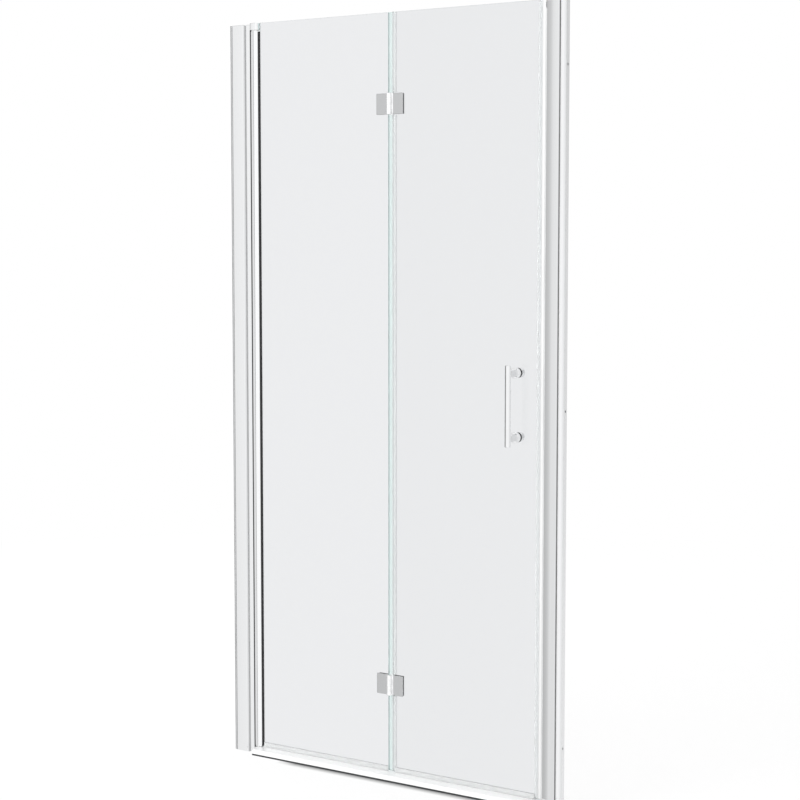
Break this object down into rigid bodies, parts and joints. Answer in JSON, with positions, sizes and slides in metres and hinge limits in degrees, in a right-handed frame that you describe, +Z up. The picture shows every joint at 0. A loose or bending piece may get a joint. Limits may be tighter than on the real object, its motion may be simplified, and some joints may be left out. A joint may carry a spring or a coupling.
{
  "type": "bifold shower door",
  "caption": "Frameless bifold shower door: two hinged clear glass panels between slim polished posts, with a low threshold rail and a bar handle.",
  "frame": {"origin": "on the top of the shower tray, at the middle of the doorway's width and in the middle plane of the glass; this point is on the base gasket's underside", "axes": "+X from the pivot jamb to the strike post, along the door; +Y into the shower, so the handle side is -Y; +Z up"},
  "size_m": [0.99, 0.069, 1.9],
  "materials": {
    "polished_aluminium": "polished bright silver",
    "satin_aluminium": "polished bright silver, wall side",
    "chrome": "polished chrome plate",
    "steel": "plain stainless steel",
    "glass": "clear toughened glass with polished edges",
    "clear_seal": "clear flexible seal",
    "white_magnet": "white magnet strip",
    "black_rubber": "black gasket rubber",
    "grey_gasket": "dark grey base seal",
    "nylon": "natural nylon"
  },
  "bodies": {
    "frame": {"wall_channel_left": "satin_aluminium", "wall_channel_right": "satin_aluminium", "pivot_jamb": "polished_aluminium", "strike_post": "polished_aluminium", "post_top_caps": "polished_aluminium", "post_edge_seals": "grey_gasket", "post_fixing_screws": "steel", "fixing_screw_covers": "chrome", "strike_magnet": "white_magnet", "jamb_wiper_seal": "grey_gasket", "pivot_block_top": "polished_aluminium", "pivot_block_bottom": "polished_aluminium", "pivot_pin_top": "steel", "pivot_pin_bottom": "steel", "pivot_block_screws": "steel", "threshold_rail": "satin_aluminium", "threshold_gasket": "grey_gasket", "threshold_end_caps": "satin_aluminium"},
    "pivot_panel": {"pivot_profile": "polished_aluminium", "pivot_bush_top": "nylon", "pivot_bush_bottom": "nylon", "pivot_glass": "glass", "glazing_gasket_front": "black_rubber", "glazing_wedge_rear": "black_rubber", "pivot_drip_seal": "clear_seal", "hinge_pivot_leaf_lower": "chrome", "hinge_pivot_leaf_upper": "chrome", "hinge_pivot_clamp_lower": "chrome", "hinge_pivot_clamp_upper": "chrome", "hinge_pivot_pads": "black_rubber", "hinge_pivot_screws": "steel", "hinge_pin_lower": "chrome", "hinge_pin_upper": "chrome", "hinge_washers": "nylon"},
    "door_panel": {"door_glass": "glass", "hinge_door_leaf_lower": "chrome", "hinge_door_leaf_upper": "chrome", "hinge_door_clamp_lower": "chrome", "hinge_door_clamp_upper": "chrome", "hinge_door_pads": "black_rubber", "hinge_door_screws": "steel", "fold_seal": "clear_seal", "door_edge_seal": "clear_seal", "door_magnet": "white_magnet", "door_drip_seal": "clear_seal", "handle_bar": "chrome", "handle_posts": "chrome", "handle_roses": "chrome", "handle_washers": "black_rubber", "handle_rear_caps": "chrome", "handle_bolts": "steel"}
  },
  "joints": [
    {"name": "pivot_swing", "type": "hinge", "parent": "frame", "child": "pivot_panel", "pos_m": [-0.418, 0, 0.95], "axis": [0, 0, 1], "range_deg": [0, 90]},
    {"name": "door_fold", "type": "hinge", "parent": "pivot_panel", "child": "door_panel", "pos_m": [0.0045, -0.008, 0.95], "axis": [0, 0, -1], "range_deg": [0, 170]}
  ]
}
